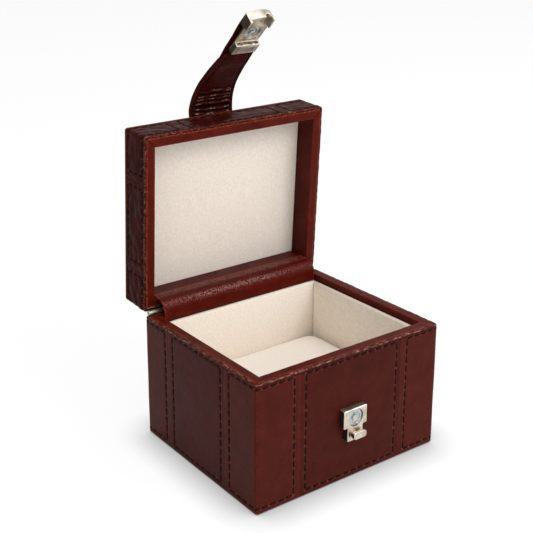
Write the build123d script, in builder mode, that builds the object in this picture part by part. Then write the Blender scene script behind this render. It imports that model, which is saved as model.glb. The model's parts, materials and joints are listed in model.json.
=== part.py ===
from build123d import *
import os

os.makedirs("parts", exist_ok=True)

# ---------------------------------------------------------------------------
# Driving sizes, in millimetres and degrees. X runs along the front, -Y is the
# clasp side, +Z is up, and the origin is the centre of the underside.
# ---------------------------------------------------------------------------

# Outside of the box
case_width = 100.0
case_depth = 83.0
case_height = 58.5
lid_depth = 16.6
closed_gap = 0.6            # between the two rims when the lid is shut
corner_radius = 1.2

# Leather, boards and lining
skin = 1.0                  # outer leather
board = 3.5                 # wall boards
base_board_thickness = 3.0
top_board_thickness = 3.1
rim_skin = 1.0              # leather turned over the rims
back_rim_skin = 0.4         # skived where it lies on the hinge leaves
rim_lip_depth = 10.0
edge_round = 0.5
mitre_gap = 0.12
seam_gap = 0.35
front_seam = 28.3           # half the width of the middle panels on front and back
front_seam_middle = 0.4     # their middle, right of the box's middle
side_seam = 21.2            # half the width of the middle panels on the sides
side_seam_middle = 1.3      # their middle, behind the box's middle
lining = 2.2
lining_drop = 3.0           # lining's top edge below the rim
lining_round = 0.7
lid_lining = 0.8
lid_lining_gap = 0.15

# Cushion
cushion_top = 28.5
cushion_clearance = 0.3
cushion_corner = 3.0
cushion_round = 2.5

# Piano hinge
pin_radius = 0.65
knuckle_bore = 0.70
knuckle_radius = 1.3
knuckle_count = 11
knuckle_clearance = 0.2
pin_outside = 0.6           # pin's centre behind the back face
hinge_end_inset = 2.0
pin_end_inset = 0.4
leaf_thickness = 0.6
leaf_edge_clearance = 0.2
lid_open_angle = 86.7
screw_count = 5
screw_pitch = 19.0
screw_head_radius = 1.1
screw_head_depth = 0.45
screw_shank_radius = 0.6
screw_length = 5.0
screw_clearance = 0.05

# Leather strip that hides the hinge on the inside
cover_thickness = 1.2
cover_clearance = 0.3
cover_rise = 6.0            # above the case's rim
cover_end_gap = 1.0

# Catch plate on the front
magnet_height = 29.9        # magnet's centre above the underside
plate_thickness = 3.0
plate_half_width = 6.4
plate_up = 4.3              # plate's top edge above the magnet's centre
plate_step = 4.1            # from the magnet's centre down to the narrow part
plate_tail_half_width = 4.2
plate_tail = 10.5           # from the magnet's centre down to the lower end
plate_corner = 0.6
plate_edge = 0.3
magnet_radius = 3.9
magnet_thickness = 1.5
magnet_hole_radius = 1.0
magnet_groove_in = 1.8
magnet_groove_out = 2.5
magnet_groove_depth = 0.25
magnet_fit = 0.15
magnet_recess = 0.5
rivet_head_radius = 1.45
rivet_head_height = 0.35
rivet_fit = 0.05
plate_rivet_x = 4.9
plate_rivet_up = 2.9
plate_rivet_radius = 0.55
plate_rivet_length = 6.0
stud_drop = 7.1             # stud's centre below the magnet's
stud_neck_x = -1.4
stud_bar_x = 0.35
stud_flange_radius = 2.2
stud_flange = 0.5
stud_neck_radius = 1.6
stud_neck = 0.9
stud_bar_length = 7.0
stud_bar_height = 3.2
stud_bar_corner = 1.2
stud_bar_thickness = 1.4
stud_bar_round = 0.35
stud_shank_radius = 1.2

# Clasp on the strap's end, measured outward from the case's front when it is shut
clasp_gap = 0.3             # between the two plates
clasp_half_width = 6.5
clasp_plate_thickness = 0.6
clasp_plate_up = 11.5       # tail under the clamp, above the magnet's centre
magnet_cup_wall = 0.8
magnet_cup_floor = 0.4
hood_top = 3.8              # hood's upper wall below the magnet's centre
hood_end = 9.7              # straight length of the hood below the magnet's centre
hood_crown = 1.5            # bulge of the rounded free end
hood_wall = 0.9
hood_end_wall = 0.8
hood_floor = 0.4
hood_stud_clearance = 0.4
hood_cheek_rise = 1.3       # side walls standing past the plate towards the case
notch_x = 3.6
notch_radius = 1.9
crown_depth = 0.9           # end wall standing past the hood's floor, beside the leather
clamp_down = 5.4            # clamp's near edge above the magnet's centre
clamp_height = 2.6
clamp_round = 0.4
clamp_slot_width = 11.2
clamp_slot_height = 1.6
clamp_slot_depth = 2.2
clamp_rivet_x = 4.1
clamp_rivet_up = 8.9
clamp_rivet_radius = 0.8
clamp_rivet_height = 0.3
slot_pin_x = 2.6
slot_pin_radius = 0.45
slot_pin_length = 1.2

# Strap, in two plies stitched together
strap = 2.2
strap_standoff = 2.0        # inner face from the case's front when it is shut
strap_wide = 23.5
strap_narrow = 15.2
strap_tip_width = 12.4
strap_tip_ply = 0.8
strap_joint_gap = 0.15
anchor_start = 40.0         # from the lid's back edge
anchor_end = 66.0
fold_ahead = 1.4            # fold line ahead of the lid's front face
fold_above = 3.7            # fold line above the lid's top face
fold_angle = 62.5           # from the set it has when open to shut
fold_back_slant = 1.0
flex_up = 29.0              # second bend above the magnet's centre
flex_ratio = 0.26
flex_slant = 0.5
strap_set_angle = 8.0       # downward slope where it passes the fold line

# ---------------------------------------------------------------------------
# Values worked out from the sizes above
# ---------------------------------------------------------------------------

half_width = case_width / 2
half_depth = case_depth / 2
rim_width = skin + board + rim_skin
wall_in = skin + board
inner_width = case_width - 2 * wall_in
inner_depth = case_depth - 2 * wall_in
rim_inner_width = case_width - 2 * rim_width
rim_inner_depth = case_depth - 2 * rim_width
lining_top = case_height - lining_drop
floor_z = skin + base_board_thickness
room_width = rim_inner_width - 2 * lining
room_depth = rim_inner_depth - 2 * lining

lid_base = case_height + closed_gap
lid_board_top = lid_depth - skin
lid_wall_top = lid_board_top - top_board_thickness
lid_lining_face = lid_wall_top - lid_lining

pin_y = half_depth + pin_outside
pin_z = case_height + closed_gap / 2
leaf_lift = knuckle_radius - leaf_thickness / 2
leaf_back = pin_y - knuckle_radius - leaf_edge_clearance
leaf_front = half_depth - wall_in
leaf_length = rim_inner_width - 2 * mitre_gap
barrel_length = case_width - 2 * hinge_end_inset

stud_reach = stud_flange + stud_neck + stud_bar_thickness
clasp_face = plate_thickness + clasp_gap
clasp_back = clasp_face + clasp_plate_thickness
hood_roof = plate_thickness + stud_reach + hood_stud_clearance
hood_back = hood_roof + hood_floor
flex_angle = fold_angle * flex_ratio


def turned(angle, y, z):
    """A turn about the X line through (y, z), as a placement."""
    return Pos(0, y, z) * Rot(angle, 0, 0) * Pos(0, -y, -z)


# The lid, the strap and the clasp are drawn shut and placed open.
lid_place = turned(-lid_open_angle, pin_y, pin_z)
fold_y = -(half_depth + fold_ahead)
fold_z = lid_base + lid_depth + fold_above
flex_y = -(half_depth + strap_standoff + strap / 2)
flex_z = magnet_height + flex_up
fold_place = lid_place * turned(-fold_angle, fold_y, fold_z)
clasp_place = fold_place * turned(flex_angle, flex_y, flex_z)


def level(place, z):
    """A level plane at height z of the shut box, carried by a placement."""
    return Plane(place * Pos(0, 0, z))


def front(place, out):
    """A plane facing the viewer, a distance out of the case's front, level with the magnets."""
    shut = Plane(origin=(0, -half_depth - out, magnet_height), x_dir=(1, 0, 0), z_dir=(0, -1, 0))
    return Plane(place * shut.location)


def side(place, x, y, z):
    """A plane across the box at x, with its first axis to the back and its second up."""
    shut = Plane(origin=(x, y, z), x_dir=(0, 1, 0), z_dir=(1, 0, 0))
    return Plane(place * shut.location)


def finish(piece, name):
    """Label a finished piece and write its file."""
    piece.part.label = name
    export_step(piece.part, "parts/" + name + ".step")


on_case = Location()

# ---------------------------------------------------------------------------
# Boards of the case and the lid: front and back run the full width, and the
# sides stand between them.
# ---------------------------------------------------------------------------

with BuildPart() as base_board:
    with BuildSketch(Plane.XY.offset(skin)):
        Rectangle(inner_width, inner_depth)
    extrude(amount=base_board_thickness)
finish(base_board, "base_board")


def drill_for_catch():
    """Holes through the case's front for the catch's stud and rivets."""
    with BuildSketch(front(on_case, 0)) as holes:
        with Locations((stud_neck_x, -stud_drop)):
            Circle(stud_shank_radius + rivet_fit)
        with Locations((-plate_rivet_x, plate_rivet_up), (plate_rivet_x, -plate_rivet_up)):
            Circle(plate_rivet_radius + rivet_fit)
    extrude(holes.sketch, amount=-wall_in - lining, mode=Mode.SUBTRACT)


def drill_for_screws(place, z, up):
    """Pilot holes in a back board's edge for the hinge screws."""
    with BuildSketch(level(place, z)) as holes:
        with Locations((0, half_depth - skin - board / 2)):
            with GridLocations(screw_pitch, 0, screw_count, 1):
                Circle(screw_shank_radius + screw_clearance)
    extrude(holes.sketch, amount=up * (screw_length + screw_clearance), mode=Mode.SUBTRACT)


wall_runs = {"front": (0, -1), "back": (0, 1), "left": (-1, 0), "right": (1, 0)}

for group, place, low, high in (
    ("case", on_case, skin, case_height - rim_skin),
    ("lid", lid_place, lid_base + rim_skin, lid_base + lid_wall_top),
):
    for face, (to_x, to_y) in wall_runs.items():
        with BuildPart() as wall:
            with BuildSketch(level(place, low)):
                with Locations(
                    (to_x * (half_width - skin - board / 2), to_y * (half_depth - skin - board / 2))
                ):
                    if to_y:
                        Rectangle(case_width - 2 * skin, board)
                    else:
                        Rectangle(board, inner_depth)
            extrude(amount=high - low)
            if group == "case" and face == "front":
                drill_for_catch()
            if face == "back":
                drill_for_screws(place, high if group == "case" else low, -1 if group == "case" else 1)
        finish(wall, group + "_" + face + "_board")

with BuildPart() as lid_top_board:
    with BuildSketch(level(lid_place, lid_base + lid_wall_top)):
        Rectangle(case_width - 2 * skin, case_depth - 2 * skin)
    extrude(amount=top_board_thickness)
finish(lid_top_board, "lid_top_board")

# ---------------------------------------------------------------------------
# Outer leather: a middle panel on each face between two seams, and a piece
# folded round each corner
# ---------------------------------------------------------------------------


def skin_band(place, z, x, y, wide, deep, tall):
    """The outer leather inside a rectangle of the plan."""
    with BuildSketch(level(place, z)) as band:
        RectangleRounded(case_width, case_depth, corner_radius)
        Rectangle(case_width - 2 * skin, case_depth - 2 * skin, mode=Mode.SUBTRACT)
        with Locations((x, y)):
            Rectangle(wide, deep, mode=Mode.INTERSECT)
    extrude(band.sketch, amount=tall)


corners = {"front_left": (-1, -1), "front_right": (1, -1), "back_left": (-1, 1), "back_right": (1, 1)}

for group, place, low, high in (
    ("case", on_case, 0, case_height - rim_skin),
    ("lid", lid_place, lid_base + rim_skin, lid_base + lid_board_top),
):
    for face, (to_x, to_y) in wall_runs.items():
        with BuildPart() as panel:
            if to_y:
                skin_band(
                    place,
                    low,
                    front_seam_middle,
                    to_y * half_depth,
                    2 * front_seam - seam_gap,
                    rim_width,
                    high - low,
                )
            else:
                skin_band(
                    place,
                    low,
                    to_x * half_width,
                    side_seam_middle,
                    rim_width,
                    2 * side_seam - seam_gap,
                    high - low,
                )
            if group == "case" and face == "front":
                drill_for_catch()
        finish(panel, group + "_" + face + "_panel")
    for corner, (to_x, to_y) in corners.items():
        run_x = half_width - front_seam - to_x * front_seam_middle - seam_gap / 2
        run_y = half_depth - side_seam - to_y * side_seam_middle - seam_gap / 2
        with BuildPart() as wrap:
            skin_band(
                place,
                low,
                to_x * (half_width - run_x / 2),
                to_y * (half_depth - run_y / 2),
                run_x,
                run_y,
                high - low,
            )
        finish(wrap, group + "_" + corner + "_corner")

with BuildPart() as base_cover:
    with BuildSketch(Plane.XY):
        Rectangle(case_width - 2 * skin, case_depth - 2 * skin)
    extrude(amount=skin)
finish(base_cover, "base_cover")

with BuildPart() as lid_top_leather:
    with BuildSketch(level(lid_place, lid_base + lid_board_top)):
        RectangleRounded(case_width, case_depth, corner_radius)
    extrude(amount=skin)
    top_edges = lid_top_leather.faces().sort_by(Axis(lid_top_leather.part.center(), level(lid_place, 0).z_dir))
    fillet(top_edges[-1].edges(), edge_round)
finish(lid_top_leather, "lid_top_leather")

# ---------------------------------------------------------------------------
# Rim leather: four mitred strips on each rim, turned down inside the walls
# ---------------------------------------------------------------------------


def rim_ring(place, rim_z, up, top_skin, lip):
    """The whole rim leather; up is 1 where its lip runs to higher z, and -1 where it runs down."""
    with BuildSketch(level(place, rim_z)) as face_ring:
        RectangleRounded(case_width, case_depth, corner_radius)
        Rectangle(rim_inner_width, rim_inner_depth, mode=Mode.SUBTRACT)
    extrude(face_ring.sketch, amount=up * top_skin)
    with BuildSketch(level(place, rim_z)) as lip_ring:
        Rectangle(inner_width, inner_depth)
        Rectangle(rim_inner_width, rim_inner_depth, mode=Mode.SUBTRACT)
    extrude(lip_ring.sketch, amount=up * lip)


def keep_side(place, rim_z, lip, to_x, to_y, back_cut):
    """Cut the ring down to one mitred side."""
    reach = rim_width + 1
    half_x, half_y = half_width, half_depth
    trim = mitre_gap / 2
    with BuildSketch(level(place, rim_z - 2 * lip)) as kept:
        with BuildLine():
            if to_y:
                Polyline(
                    (-half_x + trim, to_y * half_y),
                    (half_x - trim, to_y * half_y),
                    (half_x - reach - trim, to_y * (half_y - reach)),
                    (-half_x + reach + trim, to_y * (half_y - reach)),
                    close=True,
                )
            else:
                Polyline(
                    (to_x * half_x, -half_y + trim),
                    (to_x * half_x, half_y - trim),
                    (to_x * (half_x - reach), half_y - reach - trim),
                    (to_x * (half_x - reach), -half_y + reach + trim),
                    close=True,
                )
        make_face()
        if back_cut:
            with Locations((0, half_depth)):
                Rectangle(case_width, 2 * back_cut, mode=Mode.SUBTRACT)
    extrude(kept.sketch, amount=4 * lip, mode=Mode.INTERSECT)


lid_lip_depth = lid_lining_face - lid_lining_gap
barrel_cut = half_depth - leaf_back

for group, place, rim_z, up, lip in (
    ("case", on_case, case_height, -1, rim_lip_depth),
    ("lid", lid_place, lid_base, 1, lid_lip_depth),
):
    for face, (to_x, to_y) in wall_runs.items():
        at_back = face == "back"
        with BuildPart() as rim:
            rim_ring(place, rim_z, up, back_rim_skin if at_back else rim_skin, lip)
            keep_side(place, rim_z, lip, to_x, to_y, barrel_cut if at_back else 0)
            if not at_back:
                rim_edge = (
                    rim.edges()
                    .filter_by(lambda edge: edge.length > rim_inner_depth)
                    .sort_by_distance(level(place, rim_z).location.position + level(place, rim_z).x_dir
                                      * to_x * half_width + level(place, rim_z).y_dir * to_y * half_depth)
                )
                fillet(rim_edge[0], edge_round)
        finish(rim, group + "_" + face + "_rim")

# ---------------------------------------------------------------------------
# Lining: suede-covered boards round the inside, a cushion and the lid's panel
# ---------------------------------------------------------------------------

for face, (to_x, to_y) in wall_runs.items():
    with BuildPart() as liner:
        with BuildSketch(Plane.XY.offset(floor_z)):
            with Locations(
                (to_x * (rim_inner_width - lining) / 2, to_y * (rim_inner_depth - lining) / 2)
            ):
                if to_y:
                    Rectangle(rim_inner_width, lining)
                else:
                    Rectangle(lining, room_depth)
        extrude(amount=lining_top - floor_z)
        along = Axis.X if to_y else Axis.Y
        top_lines = liner.faces().sort_by(Axis.Z)[-1].edges().filter_by(along)
        inner_line = top_lines.sort_by(Axis.Y if to_y else Axis.X)[0 if to_x + to_y > 0 else -1]
        fillet(inner_line, lining_round)
        if face == "front":
            drill_for_catch()
    finish(liner, "lining_" + face)

with BuildPart() as cushion:
    with BuildSketch(Plane.XY.offset(floor_z)):
        RectangleRounded(
            room_width - 2 * cushion_clearance, room_depth - 2 * cushion_clearance, cushion_corner
        )
    extrude(amount=cushion_top - floor_z)
    fillet(cushion.faces().sort_by(Axis.Z)[-1].edges(), cushion_round)
finish(cushion, "cushion")

with BuildPart() as lid_lining_panel:
    with BuildSketch(level(lid_place, lid_base + lid_lining_face)):
        Rectangle(inner_width - 2 * lid_lining_gap, inner_depth - 2 * lid_lining_gap)
    extrude(amount=lid_lining)
finish(lid_lining_panel, "lid_lining_panel")

# ---------------------------------------------------------------------------
# Piano hinge: two leaves let in under the back rims, a pin and their screws
# ---------------------------------------------------------------------------

knuckle_pitch = barrel_length / knuckle_count


def screws(place, z, up, extra):
    """The hinge screws, or with extra the holes that take them."""
    for radius, length in ((screw_head_radius, screw_head_depth), (screw_shank_radius, screw_length)):
        with BuildSketch(level(place, z)) as discs:
            with Locations((0, half_depth - skin - board / 2)):
                with GridLocations(screw_pitch, 0, screw_count, 1):
                    Circle(radius + extra)
        extrude(discs.sketch, amount=up * length, mode=Mode.SUBTRACT if extra else Mode.ADD)


for name, place, up, first in (("hinge_case_leaf", on_case, -1, 0), ("hinge_lid_leaf", lid_place, 1, 1)):
    with BuildPart() as leaf:
        with BuildSketch(level(place, pin_z + up * leaf_lift)):
            with Locations((0, (leaf_front + leaf_back) / 2)):
                Rectangle(leaf_length, leaf_back - leaf_front)
        extrude(amount=leaf_thickness / 2, both=True)
        for index in range(first, knuckle_count, 2):
            start = -barrel_length / 2 + index * knuckle_pitch + knuckle_clearance / 2
            with BuildSketch(side(place, start, pin_y, pin_z)):
                Circle(knuckle_radius)
                with Locations((-(knuckle_radius + leaf_edge_clearance) / 2, up * leaf_lift)):
                    Rectangle(knuckle_radius + leaf_edge_clearance, leaf_thickness)
                Circle(knuckle_bore, mode=Mode.SUBTRACT)
            extrude(amount=knuckle_pitch - knuckle_clearance)
        screws(place, pin_z + up * (leaf_lift - leaf_thickness / 2), up, screw_clearance)
    finish(leaf, name)

for name, place, up in (("hinge_case_screws", on_case, -1), ("hinge_lid_screws", lid_place, 1)):
    with BuildPart() as screw_row:
        screws(place, pin_z + up * (leaf_lift - leaf_thickness / 2), up, 0)
    finish(screw_row, name)

with BuildPart() as hinge_pin:
    with BuildSketch(side(on_case, -barrel_length / 2 + pin_end_inset, pin_y, pin_z)):
        Circle(pin_radius)
    extrude(amount=barrel_length - 2 * pin_end_inset)
finish(hinge_pin, "hinge_pin")

with BuildPart() as hinge_cover:
    cover_low = lining_top + cover_clearance
    with BuildSketch(Plane.XY.offset(cover_low)):
        with Locations((0, rim_inner_depth / 2 - cover_clearance - cover_thickness / 2)):
            Rectangle(rim_inner_width - 2 * cover_end_gap, cover_thickness)
    extrude(amount=case_height + cover_rise - cover_low)
finish(hinge_cover, "hinge_cover")

# ---------------------------------------------------------------------------
# Catch on the front: a stepped plate with a magnet, a bar-headed stud, rivets
# ---------------------------------------------------------------------------

with BuildPart() as catch_plate:
    with BuildSketch(front(on_case, 0)) as plate_outline:
        with Locations((0, (plate_up - plate_step) / 2)):
            Rectangle(2 * plate_half_width, plate_up + plate_step)
        with Locations((0, -plate_tail / 2)):
            Rectangle(2 * plate_tail_half_width, plate_tail)
        fillet(plate_outline.vertices(), plate_corner)
    extrude(amount=plate_thickness)
    chamfer(catch_plate.faces().sort_by(Axis.Y)[0].edges(), plate_edge)
    with BuildSketch(front(on_case, plate_thickness)):
        Circle(magnet_radius + magnet_fit)
    extrude(amount=-(magnet_recess + magnet_thickness), mode=Mode.SUBTRACT)
    with BuildSketch(front(on_case, 0)):
        Circle(magnet_hole_radius - rivet_fit)
        with Locations((stud_neck_x, -stud_drop)):
            Circle(stud_shank_radius + rivet_fit)
        with Locations((-plate_rivet_x, plate_rivet_up), (plate_rivet_x, -plate_rivet_up)):
            Circle(plate_rivet_radius + rivet_fit)
    extrude(amount=plate_thickness, mode=Mode.SUBTRACT)
finish(catch_plate, "catch_plate")


def magnet_disc(place, out, toward):
    """A drilled disc with a shallow ring groove; toward is the side that its face looks to."""
    with BuildSketch(front(place, out)) as disc:
        Circle(magnet_radius)
        Circle(magnet_hole_radius, mode=Mode.SUBTRACT)
    extrude(disc.sketch, amount=-toward * magnet_thickness)
    with BuildSketch(front(place, out)) as groove:
        Circle(magnet_groove_out)
        Circle(magnet_groove_in, mode=Mode.SUBTRACT)
    extrude(groove.sketch, amount=-toward * magnet_groove_depth, mode=Mode.SUBTRACT)


def magnet_rivet(place, out, toward, length):
    """A rivet through a magnet, its head on the magnet's face."""
    with BuildSketch(front(place, out)) as head:
        Circle(rivet_head_radius)
    extrude(head.sketch, amount=toward * rivet_head_height)
    with BuildSketch(front(place, out)) as shank:
        Circle(magnet_hole_radius - 2 * rivet_fit)
    extrude(shank.sketch, amount=-toward * length)


catch_magnet_out = plate_thickness - magnet_recess

with BuildPart() as catch_magnet:
    magnet_disc(on_case, catch_magnet_out, 1)
finish(catch_magnet, "catch_magnet")

with BuildPart() as catch_rivets:
    magnet_rivet(on_case, catch_magnet_out, 1, catch_magnet_out)
    with BuildSketch(front(on_case, plate_thickness)):
        with Locations((-plate_rivet_x, plate_rivet_up), (plate_rivet_x, -plate_rivet_up)):
            Circle(plate_rivet_radius)
    extrude(amount=-plate_rivet_length)
finish(catch_rivets, "catch_rivets")

with BuildPart() as catch_stud:
    with BuildSketch(front(on_case, plate_thickness)):
        with Locations((stud_neck_x, -stud_drop)):
            Circle(stud_flange_radius)
    extrude(amount=stud_flange)
    with BuildSketch(front(on_case, plate_thickness)):
        with Locations((stud_neck_x, -stud_drop)):
            Circle(stud_neck_radius)
    extrude(amount=stud_flange + stud_neck)
    with BuildSketch(front(on_case, plate_thickness + stud_flange + stud_neck)):
        with Locations((stud_bar_x, -stud_drop)):
            RectangleRounded(stud_bar_length, stud_bar_height, stud_bar_corner)
    extrude(amount=stud_bar_thickness)
    fillet(catch_stud.faces().sort_by(Axis.Y)[0].edges(), stud_bar_round)
    with BuildSketch(front(on_case, plate_thickness)):
        with Locations((stud_neck_x, -stud_drop)):
            Circle(stud_shank_radius)
    extrude(amount=-(plate_thickness + wall_in))
finish(catch_stud, "catch_stud")

# ---------------------------------------------------------------------------
# Clasp on the strap's end: a plate with a magnet cup and a hood that closes
# over the stud, and a clamp that grips the strap
# ---------------------------------------------------------------------------


def hood_plan(inset, end_inset):
    """The hood's outline with its rounded free end, drawn inside the clasp's outline."""
    half = clasp_half_width - inset
    end = hood_end - end_inset
    with BuildLine() as outline:
        Polyline((-half, -end), (-half, -hood_top - inset), (half, -hood_top - inset), (half, -end))
        ThreePointArc((half, -end), (0, -end - hood_crown), (-half, -end))
    make_face(outline.edges())


with BuildPart() as clasp_body:
    with BuildSketch(front(clasp_place, clasp_face)):
        with Locations((0, (clasp_plate_up - hood_top) / 2)):
            Rectangle(2 * clasp_half_width, clasp_plate_up + hood_top)
    extrude(amount=clasp_plate_thickness)
    with BuildSketch(front(clasp_place, clasp_face)):
        Circle(magnet_radius + magnet_fit + magnet_cup_wall)
    extrude(amount=magnet_recess + magnet_thickness + magnet_cup_floor)
    with BuildSketch(front(clasp_place, clasp_face)):
        hood_plan(0, 0)
    extrude(amount=hood_back - clasp_face)
    # The two cheeks stand past the plate on both sides of the catch plate's narrow part.
    with BuildSketch(front(clasp_place, clasp_face)):
        hood_plan(0, 0)
        Rectangle(2 * (clasp_half_width - hood_wall), 4 * hood_end, mode=Mode.SUBTRACT)
        Rectangle(3 * clasp_half_width, 2 * (plate_step + hood_stud_clearance), mode=Mode.SUBTRACT)
    extrude(amount=-hood_cheek_rise)
    with BuildSketch(front(clasp_place, clasp_face)):
        hood_plan(hood_wall, hood_end_wall)
    extrude(amount=hood_roof - clasp_face, mode=Mode.SUBTRACT)
    with BuildSketch(front(clasp_place, clasp_face)):
        Circle(magnet_radius + magnet_fit)
    extrude(amount=magnet_recess + magnet_thickness, mode=Mode.SUBTRACT)
    # The end wall stands past the hood's back, as far as the leather behind it.
    with BuildSketch(front(clasp_place, hood_back)):
        hood_plan(0, 0)
        with Locations((0, hood_end_wall - hood_end)):
            Rectangle(
                3 * clasp_half_width, hood_end, align=(Align.CENTER, Align.MIN), mode=Mode.SUBTRACT
            )
    extrude(amount=crown_depth)
    # An arch through the end wall alone.
    notch_start = Pos(notch_x, -hood_top - hood_wall, 0) * Rot(90, 0, 0)
    with BuildSketch(Plane(front(clasp_place, clasp_face).location * notch_start)):
        Circle(notch_radius)
    extrude(amount=2 * hood_end, mode=Mode.SUBTRACT)
finish(clasp_body, "clasp_body")

clamp_mid = (clamp_down + clasp_plate_up) / 2

with BuildPart() as strap_clamp:
    with BuildSketch(front(clasp_place, clasp_face)):
        with Locations((0, clamp_mid)):
            RectangleRounded(2 * clasp_half_width, clasp_plate_up - clamp_down, clamp_round)
    extrude(amount=-clamp_height)
    clamp_slot = front(clasp_place, clasp_face - clamp_height / 2).location * Pos(0, clamp_down, 0) * Rot(-90, 0, 0)
    with BuildSketch(Plane(clamp_slot)):
        Rectangle(clamp_slot_width, clamp_slot_height)
    extrude(amount=clamp_slot_depth, mode=Mode.SUBTRACT)
finish(strap_clamp, "strap_clamp")

clasp_magnet_out = clasp_face + magnet_recess

with BuildPart() as clasp_magnet:
    magnet_disc(clasp_place, clasp_magnet_out, -1)
finish(clasp_magnet, "clasp_magnet")

with BuildPart() as clasp_rivets:
    magnet_rivet(clasp_place, clasp_magnet_out, -1, magnet_thickness)
    with BuildSketch(front(clasp_place, clasp_face - clamp_height)):
        with Locations((-clamp_rivet_x, clamp_rivet_up), (clamp_rivet_x, clamp_rivet_up)):
            Circle(clamp_rivet_radius)
    extrude(amount=-clamp_rivet_height)
    slot_floor = clamp_slot * Pos(0, 0, clamp_slot_depth)
    with BuildSketch(Plane(slot_floor)):
        with Locations((-slot_pin_x, 0), (slot_pin_x, 0)):
            Circle(slot_pin_radius)
    extrude(amount=-slot_pin_length)
finish(clasp_rivets, "clasp_rivets")

# ---------------------------------------------------------------------------
# Strap: stitched to the lid's top, arched over its front edge and set in a
# curve. It is drawn as it stands when the box is open.
# ---------------------------------------------------------------------------

# Points on this side view run forward from the lid's back edge and up from its rim.
side_view = Plane(
    lid_place * Plane(origin=(0, half_depth, lid_base), x_dir=(0, -1, 0), z_dir=(-1, 0, 0)).location
)
plan_view = Plane(lid_place * Plane(origin=(0, half_depth, lid_base), x_dir=(0, -1, 0)).location)
fold_point = Vector(case_depth + fold_ahead, lid_depth + fold_above)
flex_shut = Vector(case_depth + strap_standoff + strap / 2, magnet_height + flex_up - lid_base)
flex_point = fold_point + (flex_shut - fold_point).rotate(Axis.Z, fold_angle)
strap_end_slope = fold_angle - flex_angle - 90


def ribbon(start, start_slope, end, end_slope, thickness, start_slant=0.0, end_slant=0.0):
    """A curved strip seen from the side, from one middle point and slope to another."""
    edges = []
    for offset, slant in ((thickness / 2, 1), (-thickness / 2, -1)):
        near_dir = Vector(1, 0).rotate(Axis.Z, start_slope)
        far_dir = Vector(1, 0).rotate(Axis.Z, end_slope)
        near = start + near_dir.rotate(Axis.Z, 90) * offset + near_dir * start_slant * (slant + 1) / 2
        far = end + far_dir.rotate(Axis.Z, 90) * offset - far_dir * end_slant * (slant + 1) / 2
        edges.append((near, near_dir, far, far_dir))
    (top_near, near_dir, top_far, far_dir), (low_near, _, low_far, _) = edges
    with BuildLine() as outline:
        Spline(top_near, top_far, tangents=[near_dir, far_dir])
        Line(top_far, low_far)
        Spline(low_near, low_far, tangents=[near_dir, far_dir])
        Line(low_near, top_near)
    make_face(outline.edges())


strap_over_fold = fold_point + Vector(0, strap)
fold_back = strap_over_fold - Vector(strap_joint_gap, 0)
fold_fore = strap_over_fold + Vector(strap_joint_gap, 0)
flex_dir = Vector(1, 0).rotate(Axis.Z, strap_end_slope)
flex_back = flex_point - flex_dir * strap_joint_gap

with BuildPart() as strap_base:
    with BuildSketch(side_view):
        with Locations(((anchor_start + anchor_end) / 2, lid_depth + strap / 2)):
            Rectangle(anchor_end - anchor_start, strap)
        ribbon(
            Vector(anchor_end, lid_depth + strap / 2),
            0,
            fold_back,
            -strap_set_angle / 2,
            strap,
            end_slant=fold_back_slant,
        )
    extrude(amount=strap_wide / 2, both=True)
finish(strap_base, "strap_base")


def taper_to(length, near, far, start):
    """Trim a strap length to a taper in plan, widest at its start."""
    with BuildSketch(start) as taper:
        with BuildLine():
            Polyline((0, -near / 2), (length, -far / 2), (length, far / 2), (0, near / 2), close=True)
        make_face()
    extrude(taper.sketch, amount=case_width, both=True, mode=Mode.INTERSECT)


lower_run = flex_point.X - fold_point.X
upper_run = flex_up - clasp_plate_up
flex_width = strap_narrow + (strap_wide - strap_narrow) * upper_run / (lower_run + upper_run)

with BuildPart() as strap_lower:
    with BuildSketch(side_view):
        ribbon(fold_fore, -strap_set_angle / 2, flex_back, strap_end_slope, strap)
    extrude(amount=strap_wide, both=True)
    taper_to(lower_run, strap_wide, flex_width, Plane(plan_view.location * Pos(fold_point.X, 0, 0)))
finish(strap_lower, "strap_lower")

# The upper length is drawn shut: heights are from the magnet's centre, outs from the case's front.
strap_side = Plane(
    clasp_place
    * Plane(origin=(0, -half_depth, magnet_height), x_dir=(0, -1, 0), z_dir=(-1, 0, 0)).location
)
tip_in = hood_back + clasp_gap / 2
tip_out = tip_in + strap_tip_ply
strap_in = strap_standoff
strap_out = strap_standoff + strap
ply_in = clasp_back + clasp_gap
cup_back = clasp_face + magnet_recess + magnet_thickness + magnet_cup_floor + clasp_gap / 2

with BuildPart() as strap_upper:
    with BuildSketch(strap_side):
        with BuildLine():
            Polyline(
                (strap_in, flex_up - strap_joint_gap),
                (strap_out, flex_up - strap_joint_gap - flex_slant),
                (strap_out, clasp_plate_up + strap),
                (cup_back + strap_tip_ply, clamp_down),
                (tip_out, -hood_top),
                (tip_out, -hood_end + 2 * hood_end_wall),
                (tip_in, -hood_end + 2 * hood_end_wall),
                (tip_in, -hood_top),
                (cup_back, clamp_down),
                (ply_in, clamp_mid),
                (ply_in, clasp_plate_up + clasp_gap),
                (strap_in, clasp_plate_up + clasp_gap),
                close=True,
            )
        make_face()
    extrude(amount=strap_wide, both=True)
    with BuildSketch(front(clasp_place, 0)):
        with BuildLine():
            Polyline(
                (-flex_width / 2, flex_up),
                (-strap_narrow / 2, clasp_plate_up),
                (-strap_tip_width / 2, clamp_down),
                (-strap_tip_width / 2, -hood_end),
                (strap_tip_width / 2, -hood_end),
                (strap_tip_width / 2, clamp_down),
                (strap_narrow / 2, clasp_plate_up),
                (flex_width / 2, flex_up),
                close=True,
            )
        make_face()
    extrude(amount=tip_out + strap, mode=Mode.INTERSECT)
finish(strap_upper, "strap_upper")
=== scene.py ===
import json
import math
import random

import bmesh
import bpy
import numpy as np
from mathutils import Euler, Matrix, Vector, noise


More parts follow.
